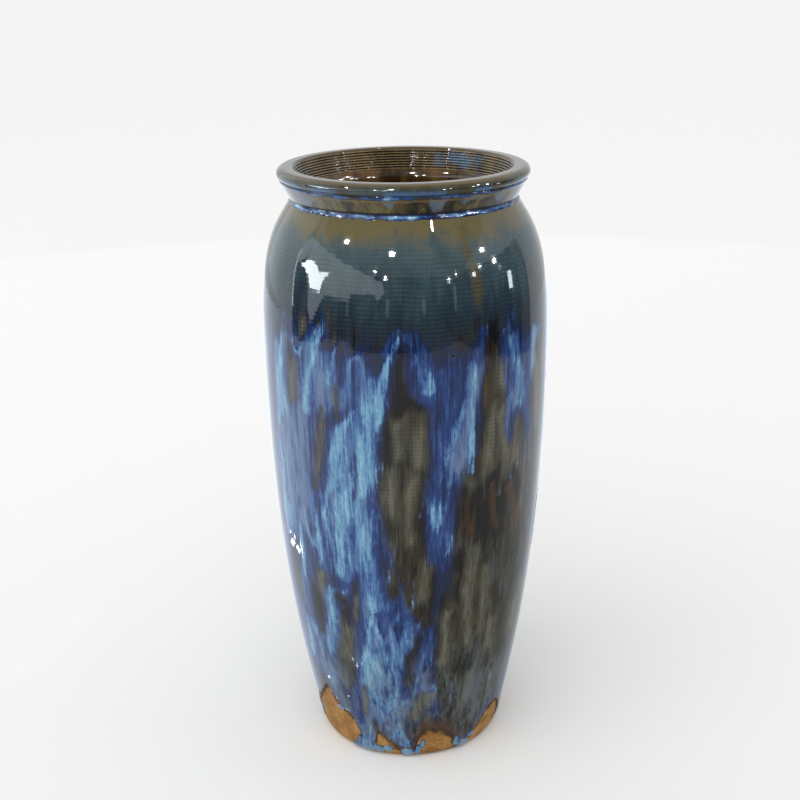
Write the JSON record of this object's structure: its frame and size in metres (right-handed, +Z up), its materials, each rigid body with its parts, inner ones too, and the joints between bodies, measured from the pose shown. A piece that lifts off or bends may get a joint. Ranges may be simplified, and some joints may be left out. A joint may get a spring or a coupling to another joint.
{
  "type": "flower vase",
  "caption": "Tall shouldered stoneware vase with a flared collar, a rolled lip, a ribbed throat and blue glaze running down over a brown base coat.",
  "frame": {"origin": "centre of the foot ring, on the plane that stands on the table", "axes": "+Z up along the vase's axis, -Y towards the front, +X to the right seen from the front"},
  "size_m": [0.1416, 0.1415, 0.3],
  "materials": {
    "stoneware": "bare fired clay, matt, toasted tan",
    "liner_glaze": "glossy amber-brown glass",
    "base_glaze": "glossy olive-brown glass",
    "shoulder_glaze": "glossy slate-teal glass",
    "pooled_glaze": "glossy light blue glass, pooled",
    "blue_glaze": "glossy streaked blue glass"
  },
  "bodies": {
    "root": {"stoneware_body": "stoneware", "liner_glaze": "liner_glaze", "base_glaze": "base_glaze", "shoulder_glaze": "shoulder_glaze", "lip_glaze_bead": "pooled_glaze", "neck_glaze_bead": "pooled_glaze", "blue_glaze_runs": "blue_glaze", "foot_glaze_drops": "blue_glaze"}
  },
  "joints": []
}
